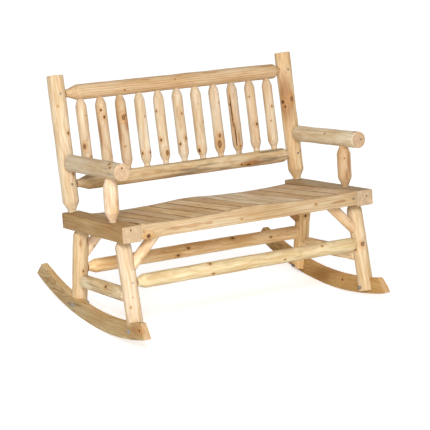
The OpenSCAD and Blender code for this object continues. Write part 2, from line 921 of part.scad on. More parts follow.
rocker(-1);  // rocker_left
rocker(1);  // rocker_right
leg(-1, -1);  // front_leg_left
leg(1, -1);  // front_leg_right
leg(-1, 1);  // rear_leg_left
leg(1, 1);  // rear_leg_right
side_rail(-1);  // seat_side_rail_left
side_rail(1);  // seat_side_rail_right
cross_rail(-1);  // seat_front_rail
cross_rail(1);  // seat_rear_rail
for (i = [1 : slat_count])
    seat_slat(i);
back_post(-1);  // back_post_left
back_post(1);  // back_post_right
back_rail(top_rail_d, top_rail_s, -1);  // back_top_rail
back_rail(bottom_rail_d, bottom_rail_s, 1);  // back_bottom_rail
for (i = [1 : spindle_count])
    back_spindle(i);
armrest(-1);  // armrest_left
armrest(1);  // armrest_right
arm_post(-1);  // arm_post_left
arm_post(1);  // arm_post_right
stretcher(-1);  // front_stretcher
stretcher(1);  // rear_stretcher
side_stretcher(-1);  // side_stretcher_left
side_stretcher(1);  // side_stretcher_right
brace(-1, -1);  // front_brace_left
brace(1, -1);  // front_brace_right
brace(-1, 1);  // rear_brace_left
brace(1, 1);  // rear_brace_right
rocker_bolts();
rocker_washers();
rocker_nuts();
post_screws();
leg_screws();
rail_screws();
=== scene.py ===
import bpy
import bmesh
import math
from mathutils import Matrix, Vector


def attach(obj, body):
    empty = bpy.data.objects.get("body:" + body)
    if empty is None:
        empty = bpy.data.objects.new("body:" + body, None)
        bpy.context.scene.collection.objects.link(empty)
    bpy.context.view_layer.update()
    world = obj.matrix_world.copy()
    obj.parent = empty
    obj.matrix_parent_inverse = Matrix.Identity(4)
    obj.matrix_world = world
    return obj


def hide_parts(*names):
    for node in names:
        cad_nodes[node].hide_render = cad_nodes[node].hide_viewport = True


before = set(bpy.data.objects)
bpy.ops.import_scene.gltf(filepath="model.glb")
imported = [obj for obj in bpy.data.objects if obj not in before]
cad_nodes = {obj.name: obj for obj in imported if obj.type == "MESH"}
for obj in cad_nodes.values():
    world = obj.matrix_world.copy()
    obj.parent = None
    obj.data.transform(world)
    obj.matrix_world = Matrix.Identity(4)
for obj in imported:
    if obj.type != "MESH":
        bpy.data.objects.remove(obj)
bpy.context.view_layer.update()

# The view. The bench is seen from its front left, a little from above, through a
# long lens, so that its upright lines stay nearly parallel.
VIEW_AZIMUTH = math.radians(-30.2)
VIEW_HEIGHT = math.radians(15.6)
VIEW_DISTANCE = 6.256
VIEW_TARGET = Vector((-0.0156, -0.0662, 0.3779))
SENSOR = 36.0
LENS = 131.9

camera_data = bpy.data.cameras.new("camera")
camera_data.sensor_width = SENSOR
camera_data.lens = LENS
camera_data.clip_start = 0.1
camera_data.clip_end = 100.0
camera = bpy.data.objects.new("camera", camera_data)
bpy.context.scene.collection.objects.link(camera)
view_back = Vector((
    math.sin(VIEW_AZIMUTH) * math.cos(VIEW_HEIGHT),
    -math.cos(VIEW_AZIMUTH) * math.cos(VIEW_HEIGHT),
    math.sin(VIEW_HEIGHT),
))
camera.location = VIEW_TARGET + view_back * VIEW_DISTANCE
camera.rotation_mode = "QUATERNION"
camera.rotation_quaternion = (-view_back).to_track_quat("-Z", "Y")
bpy.context.scene.camera = camera

# The studio. A wide white floor without a horizon. A soft lamp over the camera's left
# shoulder is the main light. A low one lights the legs, a weak one fills from the right,
# and the sky is an even white.
FLOOR_SIZE = 60.0
SKY_LIGHT = 0.66


def area_lamp(name, place, aim, size, power):
    data = bpy.data.lights.new(name, "AREA")
    data.shape = "DISK"
    data.size = size
    data.energy = power
    lamp = bpy.data.objects.new(name, data)
    lamp.location = place
    lamp.rotation_mode = "QUATERNION"
    lamp.rotation_quaternion = (Vector(aim) - Vector(place)).to_track_quat("-Z", "Y")
    bpy.context.scene.collection.objects.link(lamp)


area_lamp("key_lamp", (-2.4, -3.6, 2.8), (0, 0, 0.4), 1.4, 152)
area_lamp("fill_lamp", (3.4, -2.4, 1.6), (0, 0, 0.4), 2.5, 7)
area_lamp("low_lamp", (-1.6, -3.4, 0.6), (0, 0.1, 0.25), 2.0, 42)

bpy.context.scene.view_settings.view_transform = "Standard"

sky = bpy.data.worlds.new("studio_sky")
bpy.context.scene.world = sky
sky.use_nodes = True
sky_nodes = sky.node_tree.nodes
sky_links = sky.node_tree.links
sky_nodes.clear()
sky_out = sky_nodes.new("ShaderNodeOutputWorld")
sky_lit = sky_nodes.new("ShaderNodeBackground")
sky_lit.inputs["Strength"].default_value = SKY_LIGHT
sky_seen = sky_nodes.new("ShaderNodeBackground")
sky_seen.inputs["Strength"].default_value = 1.0
sky_mix = sky_nodes.new("ShaderNodeMixShader")
sky_ray = sky_nodes.new("ShaderNodeLightPath")
sky_pick = sky_nodes.new("ShaderNodeMath")
sky_pick.operation = "MAXIMUM"
sky_links.new(sky_ray.outputs["Is Camera Ray"], sky_pick.inputs[0])
sky_links.new(sky_ray.outputs["Is Glossy Ray"], sky_pick.inputs[1])
sky_links.new(sky_pick.outputs[0], sky_mix.inputs["Fac"])
sky_links.new(sky_lit.outputs[0], sky_mix.inputs[1])
sky_links.new(sky_seen.outputs[0], sky_mix.inputs[2])
sky_links.new(sky_mix.outputs[0], sky_out.inputs["Surface"])

bpy.ops.object.select_all(action="DESELECT")
bpy.ops.mesh.primitive_plane_add(size=FLOOR_SIZE, location=(0, 0, 0))
floor = bpy.context.object
floor.name = "floor"
floor_paint = bpy.data.materials.new("floor_paint")
floor_paint.use_nodes = True
floor_nodes = floor_paint.node_tree.nodes
floor_links = floor_paint.node_tree.links
floor_nodes.clear()
floor_out = floor_nodes.new("ShaderNodeOutputMaterial")
floor_coat = floor_nodes.new("ShaderNodeBsdfDiffuse")
floor_coat.inputs["Color"].default_value = (0.90, 0.90, 0.90, 1)
floor_glow = floor_nodes.new("ShaderNodeEmission")
floor_glow.inputs["Color"].default_value = (1, 1, 1, 1)
floor_ray = floor_nodes.new("ShaderNodeLightPath")
floor_lift = floor_nodes.new("ShaderNodeMath")
floor_lift.operation = "MULTIPLY"
floor_lift.inputs[1].default_value = 0.55
floor_sum = floor_nodes.new("ShaderNodeAddShader")
floor_links.new(floor_ray.outputs["Is Camera Ray"], floor_lift.inputs[0])
floor_links.new(floor_lift.outputs[0], floor_glow.inputs["Strength"])
floor_links.new(floor_coat.outputs[0], floor_sum.inputs[0])
floor_links.new(floor_glow.outputs[0], floor_sum.inputs[1])
floor_links.new(floor_sum.outputs[0], floor_out.inputs["Surface"])
floor.data.materials.append(floor_paint)

# Rockers. Two curved boards sawn from a wide fir plank, waney along the outer top edge
# towards both tips. Each carries a front and a rear leg, bolted through the board. The
# left one has weathered a little grey, and the right one is a darker orange.
REST_PITCH = math.radians(7.5)
ROCKER_R = 1.585
ROCKER_AHEAD = 0.0765
RAIL_RISE = 0.434
REST_Y = 0.01077


def at_rest(x, y, z):
    """A place on the level bench in millimetres, moved to where it is when it rests."""
    ahead = y / 1000 + ROCKER_AHEAD
    below = z / 1000 - (ROCKER_R - RAIL_RISE)
    return Vector((
        x / 1000,
        REST_Y + ahead * math.cos(REST_PITCH) + below * math.sin(REST_PITCH),
        ROCKER_R - ahead * math.sin(REST_PITCH) + below * math.cos(REST_PITCH),
    ))


def tone(red, green, blue):
    """A colour read off a screen, as the light that it stands for."""
    return tuple(
        (part / 255 / 12.92 if part / 255 <= 0.04045 else ((part / 255 + 0.055) / 1.055) ** 2.4)
        for part in (red, green, blue)
    ) + (1.0,)


def feed(tree, socket, value):
    if isinstance(value, bpy.types.NodeSocket):
        tree.links.new(value, socket)
    else:
        socket.default_value = value


def sum_of(tree, operation, first, second=0.0, third=0.0):
    node = tree.nodes.new("ShaderNodeMath")
    node.operation = operation
    feed(tree, node.inputs[0], first)
    feed(tree, node.inputs[1], second)
    feed(tree, node.inputs[2], third)
    return node.outputs[0]


def moved(tree, operation, first, second):
    node = tree.nodes.new("ShaderNodeVectorMath")
    node.operation = operation
    feed(tree, node.inputs[0], first)
    feed(tree, node.inputs[1], second)
    return node.outputs["Value"] if operation in ("LENGTH", "DOT_PRODUCT") else node.outputs["Vector"]


def noise_of(tree, place, stretch, seed, detail=3.0):
    node = tree.nodes.new("ShaderNodeTexNoise")
    node.noise_dimensions = "4D"
    node.inputs["W"].default_value = seed
    node.inputs["Scale"].default_value = 1.0
    node.inputs["Detail"].default_value = detail
    feed(tree, node.inputs["Vector"], moved(tree, "MULTIPLY", place, stretch))
    return node.outputs["Fac"]


def eased(tree, value, low, high, to_low=0.0, to_high=1.0):
    node = tree.nodes.new("ShaderNodeMapRange")
    node.interpolation_type = "SMOOTHSTEP"
    feed(tree, node.inputs["Value"], value)
    node.inputs["From Min"].default_value = low
    node.inputs["From Max"].default_value = high
    node.inputs["To Min"].default_value = to_low
    node.inputs["To Max"].default_value = to_high
    return node.outputs["Result"]


def blended(tree, share, first, second, blend="MIX"):
    node = tree.nodes.new("ShaderNodeMix")
    node.data_type = "RGBA"
    node.blend_type = blend
    feed(tree, node.inputs["Factor"], share)
    feed(tree, node.inputs["A"], first)
    feed(tree, node.inputs["B"], second)
    return node.outputs["Result"]


def fir(name, start, end, tint, seed, pith=(0.0, 0.0), knots=(), face=(0, -1, 0), reach=0.03,
        ring_gap=0.0028, wander=0.008, grain=0.28, weather=0.0, painted_light_side=None,
        painted_light_tone=(150, 128, 108), end_tone=(222, 188, 148), sheen=0.28):
    """Peeled or planed fir whose grain runs from start to end.

    Knots are given as (millimetres along, degrees round from the face, size in millimetres),
    and lie at the given reach from the line from start to end. A fourth number under 1
    draws a knot out along the grain, to a stain under 0.3 and to a dark crack under 0.1.
    Knots from 14 mm up are pale inside, unless the number is 0.8 or more. Weather is the
    share of the surface that has turned grey. The painted light side is the axis along which
    faces take the painted light tone: painted shade on a board's sides, or a painted lift of
    light on a top. The sheen is the shine of the peeled surface.
    """
    along = (end - start).normalized()
    across = (Vector(face) - along * along.dot(Vector(face))).normalized()
    turn = Matrix((across, along.cross(across), along)).transposed()
    coat = bpy.data.materials.new(name)
    coat.use_nodes = True
    tree = coat.node_tree
    shader = tree.nodes["Principled BSDF"]
    source = tree.nodes.new("ShaderNodeTexCoord")
    turned = tree.nodes.new("ShaderNodeMapping")
    turned.vector_type = "TEXTURE"
    turned.inputs["Location"].default_value = start
    turned.inputs["Rotation"].default_value = turn.to_euler("XYZ")
    tree.links.new(source.outputs["Object"], turned.inputs["Vector"])
    place = turned.outputs["Vector"]

    # Knots: how near the closest one is, in knot sizes
    rough = noise_of(tree, place, (260, 260, 160), seed + 0.3, 2.0)
    near = 9.0
    large = 9.0
    stain = 9.0
    for distance, angle, size, *drawn in knots:
        heart = (
            reach * math.cos(math.radians(angle)),
            reach * math.sin(math.radians(angle)),
            distance / 1000,
        )
        stretch = drawn[0] if drawn else 0.75
        apart = moved(tree, "MULTIPLY", moved(tree, "SUBTRACT", place, heart), (1.0, 1.0, stretch))
        away = sum_of(tree, "DIVIDE", moved(tree, "LENGTH", apart, (0, 0, 0)), size / 2000)
        if 0.1 <= stretch < 0.3:
            stain = sum_of(tree, "MINIMUM", stain, away)
        elif size >= 14 and stretch < 0.8:
            large = sum_of(tree, "MINIMUM", large, away)
        else:
            near = sum_of(tree, "MINIMUM", near, away)
    near = sum_of(tree, "MULTIPLY_ADD", rough, 0.7, sum_of(tree, "SUBTRACT", near, 0.35))
    large = sum_of(tree, "MULTIPLY_ADD", rough, 0.5, sum_of(tree, "SUBTRACT", large, 0.25))
    inside = eased(tree, large, 0.72, 0.35)
    near = sum_of(tree, "MINIMUM", near, large)
    core = eased(tree, near, 1.0, 0.6)
    halo = eased(tree, near, 2.9, 0.8)
    stain = sum_of(tree, "MULTIPLY_ADD", rough, 0.9, sum_of(tree, "SUBTRACT", stain, 0.45))
    stain = eased(tree, stain, 1.5, 0.5)

    # Year rings round a pith that wanders along the log
    drift = tree.nodes.new("ShaderNodeTexNoise")
    drift.noise_dimensions = "4D"
    drift.inputs["W"].default_value = seed
    drift.inputs["Scale"].default_value = 1.0
    drift.inputs["Detail"].default_value = 2.0
    tree.links.new(moved(tree, "MULTIPLY", place, (9, 9, 4.5)), drift.inputs["Vector"])
    swayed = moved(tree, "MULTIPLY", moved(tree, "SUBTRACT", drift.outputs["Color"], (0.5, 0.5, 0.5)),
                   (wander, wander, 0))
    round_pith = moved(tree, "ADD", moved(tree, "SUBTRACT", place, (pith[0], pith[1], 0)), swayed)
    from_pith = moved(tree, "LENGTH", moved(tree, "MULTIPLY", round_pith, (1, 1, 0)), (0, 0, 0))
    ripple = noise_of(tree, place, (60, 60, 14), seed + 5.0, 2.0)
    years = sum_of(tree, "MULTIPLY_ADD", ripple, 0.9, sum_of(tree, "DIVIDE", from_pith, ring_gap))
    years = sum_of(tree, "MULTIPLY_ADD", halo, -1.4, years)
    year = sum_of(tree, "FRACT", years)
    late_up = eased(tree, year, 0.35, 0.86)
    late_down = eased(tree, year, 0.88, 1.0, 1.0, 0.0)
    late = sum_of(tree, "MULTIPLY", late_up, late_down)

    # Fibres, coloured streaks and broad patches
    fibre = noise_of(tree, place, (520, 520, 16), seed + 1.0, 3.0)
    streak = noise_of(tree, place, (110, 110, 5.5), seed + 2.0, 3.0)
    patch = noise_of(tree, place, (16, 16, 6), seed + 3.0, 3.0)
    shade = sum_of(tree, "MULTIPLY_ADD", streak, 0.9, sum_of(tree, "MULTIPLY", patch, 1.1))
    shade = eased(tree, shade, 0.72, 1.28)
    pale = tone(*tint)
    deep = tuple(part * share for part, share in zip(pale, (0.80, 0.68, 0.52, 1.0)))
    body = blended(tree, shade, pale, deep)
    late_tone = blended(tree, 1.0, body, tone(206, 158, 112), "MULTIPLY")
    body = blended(tree, sum_of(tree, "MULTIPLY", late, grain), body, late_tone)
    if weather:
        drawn_out = noise_of(tree, place, (70, 70, 7), seed + 7.0, 4.0)
        broad = noise_of(tree, place, (9, 9, 5), seed + 8.0, 2.0)
        greyed = sum_of(tree, "MULTIPLY_ADD", broad, 0.8, drawn_out)
        greyed = eased(tree, greyed, 1.12 - 0.3 * weather, 1.30 - 0.3 * weather)
        grey = blended(tree, 1.0, body, tone(196, 196, 200), "MULTIPLY")
        body = blended(tree, greyed, body, grey)
    fine = eased(tree, fibre, 0.30, 0.72, 0.86, 1.08)
    body = blended(tree, 1.0, body, fine, "MULTIPLY")

    # Sawn ends: pinker and flatter, with sharp rings and a dark pith
    outward = moved(tree, "DOT_PRODUCT", source.outputs["Normal"], along)
    sawn = eased(tree, sum_of(tree, "ABSOLUTE", outward), 0.80, 0.93)
    rays = noise_of(tree, place, (700, 700, 4), seed + 4.0, 2.0)
    end_body = blended(tree, late, tone(*end_tone), blended(
        tree, 1.0, tone(*end_tone), tone(214, 172, 138), "MULTIPLY"))
    end_body = blended(tree, 1.0, end_body, eased(tree, rays, 0.25, 0.7, 0.78, 1.06), "MULTIPLY")
    blotch = noise_of(tree, place, (70, 70, 1), seed + 9.0, 3.0)
    end_body = blended(tree, 1.0, end_body, eased(tree, blotch, 0.3, 0.62, 1.04, 0.84), "MULTIPLY")
    end_body = blended(tree, sum_of(tree, "MULTIPLY", late, 0.5), end_body, blended(
        tree, 1.0, end_body, tone(206, 158, 120), "MULTIPLY"))
    pith_mark = eased(tree, from_pith, 0.0058, 0.0022)
    end_body = blended(tree, pith_mark, end_body, tone(112, 72, 46))
    body = blended(tree, sawn, body, end_body)
    body = blended(tree, sum_of(tree, "MULTIPLY", stain, 0.70), body, tone(152, 100, 54))
    body = blended(tree, sum_of(tree, "MULTIPLY", halo, 0.58), body, tone(194, 142, 80))
    body = blended(tree, core, body, tone(92, 60, 36))
    body = blended(tree, sum_of(tree, "MULTIPLY", inside, 0.75), body, tone(160, 114, 68))
    # Painted light: faces that point along the given axis, either way, get the painted light tone
    # multiplied in. Below white it paints shade, above white it paints extra light.
    if painted_light_side:
        toward_painted_side = moved(tree, "DOT_PRODUCT", source.outputs["Normal"], painted_light_side)
        painted_light_share = eased(tree, sum_of(tree, "ABSOLUTE", toward_painted_side), 0.55, 0.85)
        body = blended(tree, painted_light_share, body, blended(tree, 1.0, body, tone(*painted_light_tone), "MULTIPLY"))
    tree.links.new(body, shader.inputs["Base Color"])

    # Fibres and rings stand up a little, and knots more
    height = sum_of(tree, "MULTIPLY_ADD", fibre, 0.35, sum_of(tree, "MULTIPLY", streak, 0.5))
    height = sum_of(tree, "MULTIPLY_ADD", late, 0.30, height)
    height = sum_of(tree, "MULTIPLY_ADD", core, 0.9, height)
    facets = noise_of(tree, place, (55, 55, 9), seed + 6.0, 1.0)
    height = sum_of(tree, "MULTIPLY_ADD", facets, 1.2, height)
    bump = tree.nodes.new("ShaderNodeBump")
    bump.inputs["Strength"].default_value = 0.55
    bump.inputs["Distance"].default_value = 0.0009
    tree.links.new(height, bump.inputs["Height"])
    tree.links.new(bump.outputs["Normal"], shader.inputs["Normal"])
    tree.links.new(eased(tree, streak, 0.3, 0.7, 0.61 - 0.2 * sheen, 0.78 - 0.2 * sheen),
                   shader.inputs["Roughness"])
    shader.inputs["Specular IOR Level"].default_value = sheen
    return coat


def coated(name, coat):
    cad_nodes[name].data.materials.clear()
    cad_nodes[name].data.materials.append(coat)


def made_of(piece, node, coat):
    piece.data.materials.clear()
    piece.data.materials.append(coat)
    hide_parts(node)


def worn_copy(node):
    """The node's shape with its sawn edges eased and its faces slightly uneven."""
    bpy.ops.object.select_all(action="DESELECT")
    piece = cad_nodes[node].copy()
    piece.data = cad_nodes[node].data.copy()
    piece.name = "worn_" + node
    bpy.context.scene.collection.objects.link(piece)
    bpy.context.view_layer.objects.active = piece
    piece.select_set(True)
    bpy.ops.object.mode_set(mode="EDIT")
    bpy.ops.mesh.select_all(action="SELECT")
    bpy.ops.mesh.remove_doubles(threshold=0.00001)
    bpy.ops.object.mode_set(mode="OBJECT")
    even = piece.modifiers.new("even", "REMESH")
    even.mode = "VOXEL"
    even.voxel_size = 0.0024
    bpy.ops.object.modifier_apply(modifier="even")
    eased_edges = piece.modifiers.new("eased", "SMOOTH")
    eased_edges.factor = 0.5
    eased_edges.iterations = 4
    bpy.ops.object.modifier_apply(modifier="eased")
    for size, strength in ((0.12, 0.0009), (0.02, 0.000315)):
        lump = bpy.data.textures.new(node + "_lumps", "CLOUDS")
        lump.noise_scale = size
        swell = piece.modifiers.new("swell", "DISPLACE")
        swell.texture = lump
        swell.strength = strength
        swell.mid_level = 0.5
        bpy.ops.object.modifier_apply(modifier="swell")
    bpy.ops.object.shade_smooth_by_angle(angle=math.radians(40))
    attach(piece, "root")
    return piece


for side, name in ((-1, "left"), (1, "right")):
    made_of(worn_copy("rocker_" + name), "rocker_" + name, fir(
        "rocker_fir_" + name,
        at_rest(side * 538, -350, -400), at_rest(side * 538, 590, -400),
        (199, 178, 134) if side < 0 else (197, 162, 104),
        seed=3.1 * side, pith=(0.09, 0.05), face=(0, 0, 1), wander=0.05, ring_gap=0.006, grain=0.55,
        weather=0.4 if side < 0 else 0.0, end_tone=(230, 208, 186),
        # Painted light: the rockers' top and bottom faces are lifted above their own colour. This stands in
        # for the sky light that the seat keeps off them.
        painted_light_side=(0, 0, 1), painted_light_tone=(284, 278, 274), reach=0.030 if side < 0 else 0.018,
        knots=((36, -33, 12, 0.9), (22, -37, 17, 0.9), (30, -35, 34, 0.29), (700, 0, 9))
        if side < 0 else ((275, -63, 12), (700, 0, 9)),
    ))

# Legs. Four peeled fir logs, turned down to a shoulder and a tenon at the head, which is
# driven up into the side rail. At the foot half of the log stands on the rocker and the
# other half laps down the board's inner face.
LEG_HEAD_Y = {-1: -181, 1: 179}
LEG_LEAN = {-1: math.radians(10.4), 1: math.radians(12.8)}


def leg_at(side, end, z):
    return at_rest(side * 522, LEG_HEAD_Y[end] - end * math.tan(LEG_LEAN[end]) * (z + 62), z)


def round_log(name, start, end, outline, sides=48, step=9.0):
    """A peeled log. The outline gives (millimetres from the start, thickness in millimetres)."""
    bpy.ops.object.select_all(action="DESELECT")
    first = outline[0]
    bpy.ops.mesh.primitive_circle_add(
        vertices=sides, radius=first[1] / 2000, fill_type="NGON", location=(0, 0, 0))
    log = bpy.context.object
    log.name = name
    bpy.ops.object.mode_set(mode="EDIT")
    bpy.ops.mesh.select_all(action="SELECT")
    for before, here in zip(outline, outline[1:]):
        bpy.ops.mesh.extrude_region_move(
            TRANSFORM_OT_translate={"value": (0, 0, (here[0] - before[0]) / 1000)})
        bpy.ops.transform.resize(
            value=(here[1] / before[1], here[1] / before[1], 1), center_override=(0, 0, here[0] / 1000))
    bpy.ops.mesh.select_all(action="SELECT")
    bpy.ops.mesh.normals_make_consistent(inside=False)
    shape = bmesh.from_edit_mesh(log.data)
    longest = max(
        edge.calc_length() for edge in shape.edges
        if abs(edge.verts[0].co.z - edge.verts[1].co.z) > 0)
    for edge in shape.edges:
        rise = abs(edge.verts[0].co.z - edge.verts[1].co.z)
        edge.select_set(rise > 0.03 and edge.calc_length() > 0.5 * longest)
    bmesh.update_edit_mesh(log.data)
    bpy.ops.mesh.select_mode(type="EDGE")
    bpy.ops.mesh.subdivide(number_cuts=max(1, round(longest * 1000 / step)))
    bpy.ops.object.mode_set(mode="OBJECT")
    way = (end - start).normalized()
    log.rotation_mode = "QUATERNION"
    log.rotation_quaternion = way.to_track_quat("Z", "X")
    log.location = start
    bpy.ops.object.transform_apply(location=True, rotation=True, scale=True)
    for size, strength in ((0.11, 0.0032), (0.03, 0.0008)):
        lump = bpy.data.textures.new(name + "_lumps", "CLOUDS")
        lump.noise_scale = size
        swell = log.modifiers.new("swell", "DISPLACE")
        swell.texture = lump
        swell.strength = strength
        swell.mid_level = 0.5
        bpy.ops.object.modifier_apply(modifier="swell")
    bpy.ops.object.shade_smooth_by_angle(angle=math.radians(38))
    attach(log, "root")
    return log


LEG_LOOKS = {
    (-1, -1): ((222, 204, 177), ((120, -60, 7), (250, 40, 6), (215, 15, 4))),
    (1, -1): ((226, 206, 173), ((167, 12, 17), (185, 73, 11), (120, -50, 6))),
    (-1, 1): ((226, 204, 166), ((165, 1, 8), (46, 28, 9, 0.28), (43, -30, 10, 0.28), (240, -50, 7))),
    (1, 1): ((248, 216, 162), ((98, 93, 12), (82, 14, 13), (200, 0, 6))),
}
for side, side_name in ((-1, "left"), (1, "right")):
    for end, end_name in ((-1, "front"), (1, "rear")):
        name = end_name + "_leg_" + side_name
        tint, knots = LEG_LOOKS[side, end]
        head = leg_at(side, end, -62)
        foot = leg_at(side, end, -402 if end < 0 else -372)
        leg_l = (foot - head).length * 1000
        log = round_log("peeled_" + name, head, foot, (
            (-8, 42), (0, 44), (3, 50), (8, 56), (14, 60), (22, 62), (leg_l - 2, 62), (leg_l, 60)))
        made_of(log, name, fir(
            "leg_fir_" + name, head, foot, tint, seed=1.7 * side + 0.6 * end + 4,
            knots=knots, reach=0.031, pith=(0.004, -0.003)))

# Side stretchers. A round log on each side from the front leg to the rear leg, with a
# rounded shoulder and a tenon at each end. Both have weathered grey.
for side, side_name in ((-1, "left"), (1, "right")):
    name = "side_stretcher_" + side_name
    front = leg_at(side, -1, -270)
    rear = leg_at(side, 1, -270)
    bar_l = (rear - front).length * 1000
    log = round_log("peeled_" + name, front, rear, (
        (14, 34), (33, 34), (36, 42), (41, 50), (48, 54),
        (bar_l - 46, 54), (bar_l - 40, 50), (bar_l - 35, 42), (bar_l - 32, 34), (bar_l - 14, 34)))
    # The right stretcher's tint goes past white. This is a painted lift of light for the shade under the
    # seat.
    made_of(log, name, fir(
        "side_stretcher_fir_" + side_name, front, rear, (233, 217, 182) if side < 0 else (260, 235, 191),
        seed=2.3 * side + 7, face=(0, 0, 1), reach=0.027,
        knots=((180, 60, 8), (166, -53, 16, 0.9)) if side < 0 else ((205, -95, 9),), weather=0.7))

# Front and rear stretchers. Long round logs between the legs, cut down at both ends to a
# tenon, and locked by a screw through each leg.
for end, name, tint, knots in (
    (-1, "front_stretcher", (227, 212, 173),
     ((310, -63, 11), (318, 25, 10), (640, 10, 7), (820, -50, 8))),
    # The rear stretcher's tint goes past white. This is a painted lift of light for a log that sits in the
    # shade under the seat.
    (1, "rear_stretcher", (266, 237, 188),
     ((396, 17, 12), (446, -35, 10), (659, -60, 12), (840, -10, 8))),
):
    left = leg_at(-1, end, -221) + Vector((0.031, 0, 0))
    right = leg_at(1, end, -221) - Vector((0.031, 0, 0))
    log = round_log("peeled_" + name, left, right, (
        (-12, 36), (0, 36), (4, 41), (17, 52), (24, 55),
        (958, 55), (965, 52), (978, 41), (982, 36), (994, 36)))
    made_of(log, name, fir(
        name + "_fir", left, right, tint, seed=0.9 * end + 11, knots=knots, reach=0.0275,
        pith=(-0.003, 0.004)))

# Side rails. Logs planed flat on four sides with their own round left along the corners.
# They carry the posts above and the legs below.
for side, side_name in ((-1, "left"), (1, "right")):
    name = "seat_side_rail_" + side_name
    made_of(worn_copy(name), name, fir(
        "side_rail_fir_" + side_name, at_rest(side * 521, -266, -31), at_rest(side * 521, 266, -31),
        (184, 155, 108) if side < 0 else (189, 170, 137), seed=5.5 * side + 20,
        pith=(0.018, -0.004) if side < 0 else (0.006, 0.008), face=(0, 0, 1),
        knots=((162, -92 * side, 12), (380, -85 * side, 8)), reach=0.04, weather=0.5, grain=0.5,
        end_tone=(214, 194, 160)))

# Front and rear rails. The same planed logs, set between the side rails with slanted
# screws. Their tops are cut to the seat's two hollows.
for end, name, knots in (
    (-1, "seat_front_rail", ((28, 16, 21, 0.9), (430, 5, 6), (770, -14, 8))),
    (1, "seat_rear_rail", ((500, 170, 9),)),
):
    made_of(worn_copy(name), name, fir(
        name + "_fir", at_rest(-482, end * 227, -30), at_rest(482, end * 227, -30),
        (202, 180, 145), seed=1.3 * end + 30, pith=(-0.004, 0.004),
        knots=knots, reach=0.039, grain=0.5))

# Knee braces. Short thin logs from each leg up to the front or the rear rail, sawn level
# under the rail and scribed to the leg's round.
# The rear left brace's tint goes past white. This is a painted lift of light for the shade it sits in under
# the seat.
BRACE_TINTS = {
    (-1, -1): (240, 219, 188), (-1, 1): (275, 254, 220), (1, -1): (226, 199, 161), (1, 1): (186, 146, 98),
}
for side, side_name in ((-1, "left"), (1, "right")):
    for end, end_name in ((-1, "front"), (1, "rear")):
        name = end_name + "_brace_" + side_name
        foot = leg_at(side, end, -180)
        head = foot + at_rest(-side * 118, 0, 118) - at_rest(0, 0, 0)
        made_of(worn_copy(name), name, fir(
            "brace_fir_" + name, foot, head, BRACE_TINTS[side, end],
            seed=0.7 * side + 1.9 * end + 40, knots=((70, 20, 6),), reach=0.019))

# Slats. Thirteen planed boards with rounded top edges, laid in the hollows of the two
# cross rails. They come from several logs, so their colour changes from board to board.
SEAT_SLOPE = math.radians(2.1)
SCOOP_R = 3.000
SCOOP_X = 0.280
SEAT_HALF = 0.482
SLAT_L = 0.482
SLAT_T = 0.020
SLAT_HALF = 0.034385
SLAT_PITCH = 73.77
SCOOP_Z = math.sqrt(SCOOP_R ** 2 - (SEAT_HALF - SCOOP_X) ** 2)
RIDGE_Z = SCOOP_Z - math.sqrt(SCOOP_R ** 2 - (SCOOP_X - SLAT_PITCH / 2000) ** 2)
SLAT_REACH = math.sqrt((SCOOP_R + SLAT_T) ** 2 - SLAT_HALF ** 2)
SLAT_TINTS = (
    (209, 188, 151), (209, 179, 132), (215, 189, 148), (227, 199, 152), (220, 194, 152), (235, 210, 168),
    (214, 184, 138), (239, 223, 195), (234, 216, 183), (237, 217, 184), (220, 189, 146), (229, 204, 165),
    (223, 196, 159),
)
